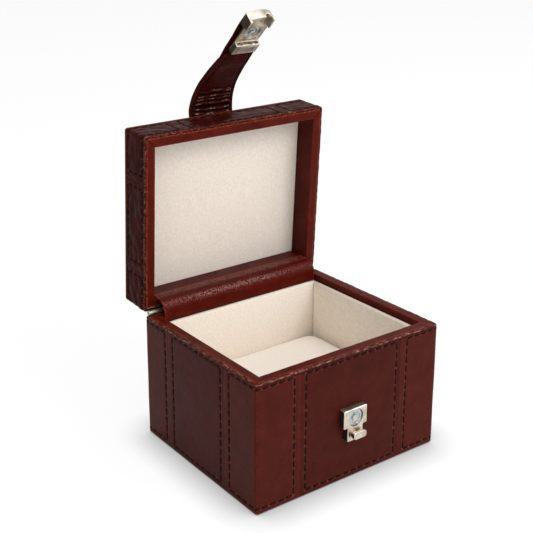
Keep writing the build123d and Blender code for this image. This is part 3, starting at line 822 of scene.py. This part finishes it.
# ----
# Lining. Four thin boards covered in cream suede stand inside the walls, a
# little below the rim, with the suede rolled over their top edges.

suede_cream = (0.79, 0.695, 0.595)
suede_pale = (0.96, 0.885, 0.795)
suede_sheen = (1.0, 0.93, 0.84, 1)
suede_roll = 0.75 * MM


def suede_finish(name, first, second):
    """Brushed suede: a mottled nap, soft at its edges, with no gloss."""
    material, tree, surface = paint(name)
    nap = speckle(tree, 1100, 7, (1.0, 0.75, 0.75), 0.7)
    soft = bump(tree, speckle(tree, 160, 4), 0.12 * MM)
    feed(tree, surface, {
        "Base Color": ramp(tree, nap, first, second, 0.28, 0.72),
        "Roughness": 0.95,
        "Specular IOR Level": 0.15,
        "Sheen Weight": 0.25,
        "Sheen Roughness": 0.6,
        "Sheen Tint": suede_sheen,
        "Normal": bump(tree, speckle(tree, 2200, 4), 0.14 * MM, soft),
    })
    return material


suede = suede_finish("cream_suede", suede_cream, suede_pale)

for wall in walls:
    liner = add_block(f"lining_{wall}_suede", *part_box(f"lining_{wall}"))
    ease(liner, suede_roll, 4)
    smooth(liner)
    belong(liner, "case", suede, "suede", f"lining_{wall}")

# ----
# Cushion. A block of foam in a cream suede cover, pushed down between the
# linings, so its top is softly crowned and its edges are rolled.

cushion_low, cushion_high = (Vector(corner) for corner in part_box("cushion"))
# The cushion's suede is a paler copy of the lining's: painted light, for the light that its top catches.
cushion_cream = (0.90, 0.815, 0.72)
cushion_pale = (0.98, 0.92, 0.85)
cushion_start = 0.5 * MM
cushion_lift = 1.2 * MM
cushion_corner = 5.5 * MM
cushion_roll = 1.9 * MM
cushion_cap = 0.6 * MM
cushion_crown = 0.9 * MM
cover_voxel = 2.5 * MM


def round_edges(piece, test, width, segments):
    """Round the edges of a piece whose ends, given as two points, pass a test."""
    choose(piece, "EDGE", lambda edge: test(*(vertex.co for vertex in edge.verts)))
    bpy.ops.mesh.bevel(offset=width, segments=segments)
    leave_edit()


cushion = add_block(
    "cushion_suede",
    cushion_low + Vector((cushion_start, cushion_start, 0)),
    cushion_high - Vector((cushion_start, cushion_start, -cushion_lift)),
)
round_edges(cushion, lambda a, b: abs(a.z - b.z) > 5 * MM, cushion_corner, 6)
top_z = points_of(cushion)[:, 2].max() - 1e-6
round_edges(cushion, lambda a, b: min(a.z, b.z) > top_z, cushion_roll, 5)
remesh = cushion.modifiers.new("cover", "REMESH")
remesh.mode = "VOXEL"
remesh.voxel_size = cover_voxel
apply_all(cushion)

before = points_of(cushion)
cloth = cushion.modifiers.new("swell", "CLOTH")
cloth.settings.effector_weights.gravity = 0
cloth.settings.use_pressure = True
cloth.settings.uniform_pressure_force = 2
cloth.settings.tension_stiffness = 15
cloth.settings.bending_stiffness = 0.5
for number in range(1, 21):
    scene.frame_set(number)
apply_all(cushion)
scene.frame_set(1)
step = points_of(cushion) - before
reach = np.linalg.norm(step, axis=1)[:, None]
move_vertices(cushion, before + step * np.minimum(1, cushion_cap / np.maximum(reach, 1e-9)))

soften = cushion.modifiers.new("soft", "SMOOTH")
soften.iterations = 4
finer = cushion.modifiers.new("finer", "SUBSURF")
finer.levels = 1
finer.render_levels = 1
apply_all(cushion)
places = points_of(cushion)
low, high = np.array(cushion_low), np.array(cushion_high)
across, back, _ = ((places - (low + high) / 2) / ((high - low) / 2)).T
rise = (places[:, 2] - low[2]) / (high[2] - low[2])
places[:, 2] += cushion_crown * (1 - across ** 4) * (1 - back ** 4) * share(rise)
places[:, :2] = np.clip(places[:, :2], low[:2], high[:2])
places[:, 2] = np.maximum(places[:, 2], low[2])
move_vertices(cushion, places)
smooth(cushion, 80)
cushion_cover = suede_finish("cushion_suede", cushion_cream, cushion_pale)
belong(cushion, "case", cushion_cover, "suede", "cushion")

# ----
# Piano hinge. Plain rolled steel leaves let in under the back rims, with small
# countersunk screws, and a steel pin through the knuckles.

steel_dark = (0.40, 0.37, 0.27)
steel_pale = (0.58, 0.55, 0.42)
steel_finish, tree, surface = paint("hinge_steel")
rolled = speckle(tree, 500, 4, (0.15, 1, 1))
feed(tree, surface, {
    "Base Color": ramp(tree, rolled, steel_dark, steel_pale),
    "Metallic": 1,
    "Roughness": ramp(tree, rolled, 0.30, 0.48),
})
for node in ("hinge_case_leaf", "hinge_lid_leaf", "hinge_pin", "hinge_case_screws", "hinge_lid_screws"):
    dress(node, steel_finish)

# ----
# Lid. The same hide as the case round its edge, one piece over its top, the
# same mitred rims, and a panel of cream suede set in its hollow.

lid_deep = (0.030, 0.0034, 0.0022)
lid_warm = (0.056, 0.0066, 0.0042)
lid_gloss = 0.02
lid_rumple = 0.30 * MM
lid_far_inset = 1.6 * MM
top_inset = 2.6 * MM
top_step = 0.9 * MM
top_edge = 0.45 * MM
panel_corner = 1.6 * MM
panel_roll = 0.38 * MM

lid_rim_z = shut_box("lid_front_rim", "lid")[0].z
lid_hide_top = shut_box("lid_front_panel", "lid")[1].z
lid_hide = hide_finish("lid_hide", lid_deep, lid_warm, creases=1.6, gloss=lid_gloss)
wrap_round("lid", lid_hide_top, lid_rim_z, lid_far_inset, 40, lid_rumple, lid_hide, lid_hide)
for wall in walls:
    rim_strip("lid", wall, -1)

top_low, top_high = shut_box("lid_top_leather", "lid")
lid_top, across, up = lay_grid("lid_top_hide", *(
    rungs(2 * half, top_step, (0, top_inset, 2 * half - top_inset, 2 * half))
    for half in (half_width, half_depth)
))
top_rows = border_rows(2 * half_width, 2 * half_depth, top_inset, top_inset, top_inset)
depth, worn, black = pulled(across, up, top_rows)
swell = swell_height * unevenness(across, up, 77, 18 * MM)
near_edge = np.minimum.reduce([across, 2 * half_width - across, up, 2 * half_depth - up])
shift = (swell - depth) * share(near_edge / (0.9 * MM))
plan = worn_round(np.column_stack([across - half_width, up - half_depth]), 0, fold_radius)
move_vertices(lid_top, np.column_stack([plan, top_high.z + shift]))
mark(lid_top, np.maximum(worn * 0.9, fading(near_edge, 0.6 * MM) * 0.4), 0.0, black * 0.9)
give_thickness(lid_top, top_high.z - top_low.z, top_edge)
smooth(lid_top, 50)
lid_top.data.transform(lid_shut_to_open)
belong(lid_top, "lid", case_hide, "leather", "lid_top_leather")


def lid_top_surface(a, b):
    """Points on the lid's outer face, and the way out of it."""
    level = np.full(len(a), top_high.z - 0.35 * pull_depth)
    place = np.column_stack([a - half_width, b - half_depth, level])
    return swung(place, np.tile([0, 0, 1.0], (len(a), 1)), "lid")


sew("lid_top_stitches", top_rows, lid_top_surface, "lid", 5)

panel = add_block("lid_panel_suede", *shut_box("lid_lining_panel", "lid"))
round_edges(panel, lambda a, b: abs(a.z - b.z) > 0.1 * MM, panel_corner, 5)
ease(panel, panel_roll, 3, 60)
smooth(panel)
panel.data.transform(lid_shut_to_open)
belong(panel, "lid", suede, "suede", "lid_lining_panel")

# ----
# Hinge cover. A strip of the rim's hide, glued down inside the lid and inside
# the case, that rolls forward over the hinge when the lid is up.

cover_low, cover_high = (Vector(corner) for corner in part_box("hinge_cover"))
cover_deep = (0.060, 0.0030, 0.0012)
cover_warm = (0.094, 0.0060, 0.0022)
cover_gloss = 0.06
cover_thickness = 1.0 * MM
roll_middle, roll_spread = 6.5 * MM, 4.5 * MM
shine_middle, shine_spread = 8.5 * MM, 1.3 * MM
cover_flat = 5.5 * MM
pebble_size = 0.55 * MM
lid_wall = lid_shut_to_open @ Vector((0, shut_box("lid_back_rim", "lid")[0].y, rim_z))
# The outer face's line from inside the lid, over the roll and down into the case: back and up.
cover_line = [(lid_wall.y + back * MM, lid_wall.z + rise * MM) for back, rise in (
    (3.6, 0.95), (1.6, 0.98), (-0.6, 0.90), (-3.4, 0.35), (-5.6, -1.10), (-6.7, -3.40), (-6.8, -6.20)
)]
cover_line.append((lid_wall.y - 6.5 * MM, cover_low.z + 0.1 * MM))


def smooth_line(points, samples):
    """A smooth curve through a few points: evenly spaced points, their directions, its length."""
    points = np.array(points, float)
    padded = np.vstack([2 * points[0] - points[1], points, 2 * points[-1] - points[-2]])
    fine = []
    for p0, p1, p2, p3 in zip(padded, padded[1:], padded[2:], padded[3:]):
        for t in np.linspace(0, 1, 24, endpoint=False):
            fine.append(
                0.5 * (2 * p1 + (p2 - p0) * t + (2 * p0 - 5 * p1 + 4 * p2 - p3) * t ** 2
                       + (3 * p1 - p0 - 3 * p2 + p3) * t ** 3)
            )
    fine = np.array(fine + [points[-1]])
    run = np.concatenate([[0], np.cumsum(np.linalg.norm(np.diff(fine, axis=0), axis=1))])
    even = np.linspace(0, run[-1], samples)
    line = np.column_stack([np.interp(even, run, fine[:, k]) for k in range(2)])
    slope = np.gradient(line, axis=0)
    slope /= np.linalg.norm(slope, axis=1)[:, None]
    return line, slope, run[-1]


def square_to(slope):
    """Directions square to a line's own, on its outer side."""
    return np.column_stack([slope[:, 1], -slope[:, 0]])


def follow(curve, along):
    """The points of a smooth line at these distances along it, and the way out of it there."""
    line, slope, length = curve
    even = np.linspace(0, length, len(line))
    place, direction = (
        np.column_stack([np.interp(along, even, values[:, k]) for k in range(2)])
        for values in (line, slope)
    )
    return place, square_to(direction)


cover_hide = hide_finish("cover_hide", cover_deep, cover_warm, rim_worn, 0.30, 0.6, cover_gloss)
cover_curve = smooth_line(cover_line, 200)
cover_length = cover_curve[2]
cover_width = cover_high.x - cover_low.x
cover, across, up = lay_grid(
    "hinge_cover_hide", rungs(cover_width, 0.28 * MM), rungs(cover_length, 0.24 * MM)
)
centre, out = follow(cover_curve, cover_length - up)
pebbles = unevenness(across, up, 5, pebble_size)
rumple = 0.16 * unevenness(across * 0.35, up, 6, 1.8 * MM) + 0.09 * pebbles
rumple *= MM * bell(up - roll_middle, roll_spread)
move_vertices(cover, np.column_stack([cover_low.x + across, centre + out * rumple[:, None]]))
side_worn = fading(np.minimum(across, cover_width - across), 0.6 * MM)
top_worn = fading(cover_length - up, 0.7 * MM)
# Painted highlight: a broken band along the roll. A faint painted sheen on the flat strip inside the lid,
# and painted shade in the crease between the strip and the roll.
highlight = bell(up - shine_middle - 0.5 * MM * unevenness(across, up, 8, 6 * MM), shine_spread)
highlight *= np.clip(0.55 + 0.9 * pebbles, 0.1, 1)
highlight *= 0.25 + 0.45 * bell(across / cover_width - 0.42, 0.36, 4)
on_flat = up - cover_length + cover_flat
mark(
    cover,
    (side_worn + top_worn) * 0.5,
    highlight + 0.14 * share(on_flat / (1.2 * MM)),
    bell(on_flat, 0.9 * MM) * 0.45,
)
give_thickness(cover, cover_thickness, 0.3 * MM)
smooth(cover)
belong(cover, None, cover_hide, "rim_leather", "hinge_cover")
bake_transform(cover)

# ----
# Catch. A polished nickel plate with a recessed magnet and a bar-headed stud,
# riveted through the front of the case.

# The nickel clouds from warm to pale, partly uneven polish and partly painted reflection. The dark tone
# is painted shade and dark reflection.
nickel_warm = (0.46, 0.40, 0.32)
nickel_pale = (0.72, 0.66, 0.56)
nickel_painted_dark = (0.050, 0.034, 0.028, 1)
magnet_grey = (0.42, 0.47, 0.49)
magnet_pale = (0.56, 0.61, 0.63)


def metal_finish(name, first, second, size):
    """Bright metal, clouded in tone partly as painted reflection. Where marked, it is painted dark, as
    shade and dark reflection, and rougher.
    """
    material, tree, surface = paint(name)
    cloud = speckle(tree, size, 3)
    sides = shade(tree, "Attribute", {}, attribute_name="painted_dark")["Fac"]
    tone = ramp(tree, cloud, first, second)
    rough = ramp(tree, cloud, 0.30, 0.42)
    feed(tree, surface, {
        "Base Color": mixed(tree, sides, tone, nickel_painted_dark),
        "Metallic": 1,
        "Roughness": sums(tree, "MULTIPLY_ADD", sides, 0.3, rough),
        "Normal": bump(tree, cloud, 0.03 * MM),
    })
    return material


nickel = metal_finish("polished_nickel", nickel_warm, nickel_pale, 260)
magnet_finish = metal_finish("plated_magnet", magnet_grey, magnet_pale, 700)


def polished(node, body, edge, upward=0.0, axis=None):
    """A metal piece as the frame has it, with its sharp edges polished round. Its outer sides are
    painted dark as shade and dark reflection, and its top by the share in upward. A turned piece has an
    axis, and is painted dark round it."""
    piece = bpy.data.objects.new(node + "_metal", frame["nodes"][node].data.copy())
    scene.collection.objects.link(piece)
    edit(piece)
    bpy.ops.mesh.remove_doubles(threshold=0.002 * MM)
    bpy.ops.mesh.dissolve_limited(angle_limit=math.radians(1))
    leave_edit()
    ease(piece, edge, 2, 35)
    smooth(piece, 32)
    normals = np.array([face.normal for face in piece.data.polygons])
    outer = [face.normal.x * face.center.x > 0 for face in piece.data.polygons]
    # Painted shade and dark reflection: full on the outer sides, less on the inner ones.
    sideways = share((np.abs(normals[:, 0]) - 0.8) / 0.15) * np.where(outer, 1.0, 0.45)
    dark = np.maximum(sideways, upward * share((normals[:, 2] - 0.85) / 0.1))
    if axis:
        dark = share((0.75 - np.abs(normals @ np.array(axis))) / 0.15) * 0.9
    sides = piece.data.attributes.new("painted_dark", "FLOAT", "FACE")
    sides.data.foreach_set("value", dark.astype(np.float32))
    magnet = node.endswith("magnet")
    belong(piece, body, magnet_finish if magnet else nickel, "magnet" if magnet else "nickel", node)


polished("catch_plate", "case", 0.16 * MM, upward=0.62)
polished("catch_stud", "case", 0.22 * MM)
polished("catch_rivets", "case", 0.12 * MM, axis=(0, 1, 0))
polished("catch_magnet", "case", 0.12 * MM, axis=(0, 1, 0))

# ----
# Strap. Two plies of the same hide, stitched down both sides and sewn to the
# lid's top. It springs off the lid's edge in a curve, and long use has drawn its
# inner side into wrinkles there. The outer ply runs on behind the clasp.

strap_deep = (0.020, 0.0024, 0.0016)
strap_warm = (0.052, 0.0050, 0.0032)
strap_worn = (0.26, 0.050, 0.030)
strap_gloss = 0.014
strap_ply = 1.08 * MM
strap_half = 1.1 * MM
tip_ply = 0.8 * MM
strap_wide = 23.5 * MM
strap_narrow = 15.2 * MM
strap_tip_wide = 12.4 * MM
strap_stitch = 2.7 * MM
strap_inset = 1.5 * MM
strap_step = 0.24 * MM
wrinkle_pitch = 2.2 * MM
wrinkle_height = 0.62 * MM
wrinkle_faint = 0.07
wrinkle_middle = 3.0 * MM
wrinkle_spread = 8.0 * MM
catch_height = 29.9 * MM
flex_follow = -0.26

strap_hide = hide_finish("strap_hide", strap_deep, strap_warm, strap_worn, 0.24, gloss=strap_gloss)
strap_fold, strap_flex = find_joint("strap_fold"), find_joint("strap_flex")
strap_shut = (
    turn_about(hinge, hinge["range_deg"][1])
    @ turn_about(strap_fold, strap_fold["range_deg"][1])
    @ turn_about(strap_flex, flex_follow * strap_fold["range_deg"][1])
)


def on_lid(forward, above):
    """Back and up of a point so far forward of the lid's back edge and above its rim, in millimetres."""
    place = lid_shut_to_open @ Vector((0, half_depth - forward * MM, lid_rim_z + above * MM))
    return place.y, place.z


def on_front(out, up):
    """Back and up of a point so far out of the front and above the magnet when all is shut."""
    place = strap_shut.inverted() @ Vector((0, -half_depth - out * MM, catch_height + up * MM))
    return place.y, place.z


seat = (top_high.z - lid_rim_z) / MM + 1.15
strap_points = [
    on_lid(40.2, seat), on_lid(53, seat), on_lid(65, seat), on_lid(75.2, 20.3), on_lid(84.4, 22.5),
    on_lid(94.6, 19.1), on_lid(103.4, 12.3), on_front(3.1, 20), on_front(3.1, 11.9),
]
middle_line, middle_slope, _ = smooth_line(strap_points, 400)
away = square_to(middle_slope) * strap_half
inner_curve = smooth_line((middle_line - away)[::8], 500)
outer_points = (middle_line + away)[:384:8].tolist()
outer_points += [on_front(6.65, 5.4), on_front(7.4, -1.0), on_front(7.55, -4.8), on_front(7.55, -8.1)]
outer_curve = smooth_line(outer_points, 600)


def strap_side(name, curve, side, thickness, seed):
    """One ply, made in two lengths, the lower and the upper."""
    line, _, whole = curve
    bend_start, at_fold, bend_end, split, flex_start, flex_end, at_clamp, at_tip = (
        whole * np.argmin(np.linalg.norm(line - np.array(place), axis=1)) / (len(line) - 1)
        for place in (
            on_lid(72, 20.5), on_lid(84.4, 22.5), on_lid(95.5, 18.6), on_lid(97, 17.8),
            on_front(3, 26), on_front(3, 20), on_front(3.5, 11.5), on_front(6.6, 5.4),
        )
    )

    def half(along):
        wide = (strap_wide / 2, strap_wide / 2, strap_narrow / 2, strap_tip_wide / 2)
        return np.interp(along, (0, at_fold, at_clamp, at_tip), wide)

    def surface_at(along, offset):
        centre, out = follow(curve, along)
        return np.column_stack([offset, centre]), np.column_stack([np.zeros(len(along)), out * side])

    lengths = (
        ("lower", 0.0, split, "lid", "strap_lower", bend_start, bend_end, ("strap_base", "strap_lower")),
        ("upper", split, whole, "strap_lower", "strap_upper", flex_start, flex_end, ("strap_upper",)),
    )
    for part, first, last, body_a, body_b, blend_from, blend_to, nodes in lengths:
        sheet, run, up = lay_grid(
            f"strap_{name}_{part}",
            rungs(last - first, strap_step),
            rungs(strap_wide, 0.55 * MM, (strap_inset, strap_wide - strap_inset)),
        )
        along = first + run
        offset = (2 * up / strap_wide - 1) * half(along)
        from_edge = half(along) - np.abs(offset)
        edge_row = [((first, strap_inset), (last, strap_inset))]
        depth, worn, black = pulled(along, from_edge, edge_row, strap_stitch, (1.0, 2))
        shift = -0.7 * depth + 0.10 * MM * unevenness(along, up, seed, 6 * MM)
        wear = np.maximum(worn * 0.1, fading(from_edge, 0.5 * MM) * 0.12)
        painted_highlight = 0.0
        if side < 0:
            zone = bell(along - at_fold - wrinkle_middle, wrinkle_spread, 4)
            beyond = share((along - at_fold) / (2 * MM)) * share((at_clamp - along) / (2 * MM))
            zone = np.maximum(zone, wrinkle_faint * beyond)
            between = share((from_edge - 1.2 * MM) / MM)
            wander = 0.9 * unevenness(along * 0.9, up * 0.16, seed + 4, 5 * MM)
            wander += 0.28 * unevenness(along, up * 0.7, seed + 5, 3 * MM)
            crest = np.abs(np.sin(math.pi * (along / wrinkle_pitch + wander))) ** 0.9
            strength = 0.85 + 0.4 * unevenness(along, up, seed + 7, 3.5 * MM)
            shift += wrinkle_height * zone * between * (crest - 0.55) * strength
            # Painted shade in the wrinkles' valleys and a painted highlight on their crests; the crests'
            # worn colour is partly painted sheen.
            ridge = zone ** 1.5 * between * share((crest - 0.92) / 0.06) * strength
            lit = unevenness(along * 0.6, up, seed + 9, 4.5 * MM)
            painted_highlight = ridge * share(0.35 + 3 * lit)
            wear = np.maximum(wear, zone * between * share((crest - 0.80) / 0.1) * 0.28)
            black = np.maximum(black, zone * between * share((0.84 - crest) / 0.2))
        place, out = surface_at(along, offset)
        move_vertices(sheet, place + out * shift[:, None])
        mark(sheet, wear, painted_highlight, black)
        if side < 0:
            sheet.data.flip_normals()
        give_thickness(sheet, thickness, 0.30 * MM)
        smooth(sheet)
        belong(sheet, None, strap_hide, "strap_leather", *nodes)

        def sewn_place(a, b):
            # Rows are given along the full width's edges, and move in with the taper.
            place, out = surface_at(a, b + np.sign(b) * (half(a) - strap_inset - strap_wide / 2))
            return place - out * 0.10 * MM, out

        last_stitch = min(last, at_clamp - 1.5 * MM)
        edges = (-strap_wide / 2, strap_wide / 2)
        rows = [((first + 0.6 * MM, edge), (last_stitch, edge)) for edge in edges]
        stitches = sew(f"strap_{name}_{part}_stitches", rows, sewn_place, None, seed, strap_stitch, 1.35)
        for piece in (sheet, stitches):
            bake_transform(piece)


strap_side("inner", inner_curve, -1, strap_ply, 21)
strap_side("outer", outer_curve, 1, tip_ply, 31)

# ----
# Clasp. The strap's metal end: a plate with a magnet cup, a hood that closes
# over the stud, and a clamp that grips the leather.

clasp_axis = tuple(strap_shut.to_3x3().inverted() @ Vector((0, 1, 0)))
polished("clasp_body", "strap_upper", 0.14 * MM, upward=0.35)
polished("strap_clamp", "strap_upper", 0.20 * MM)
polished("clasp_rivets", "strap_upper", 0.15 * MM, axis=clasp_axis)
polished("clasp_magnet", "strap_upper", 0.12 * MM, axis=clasp_axis)
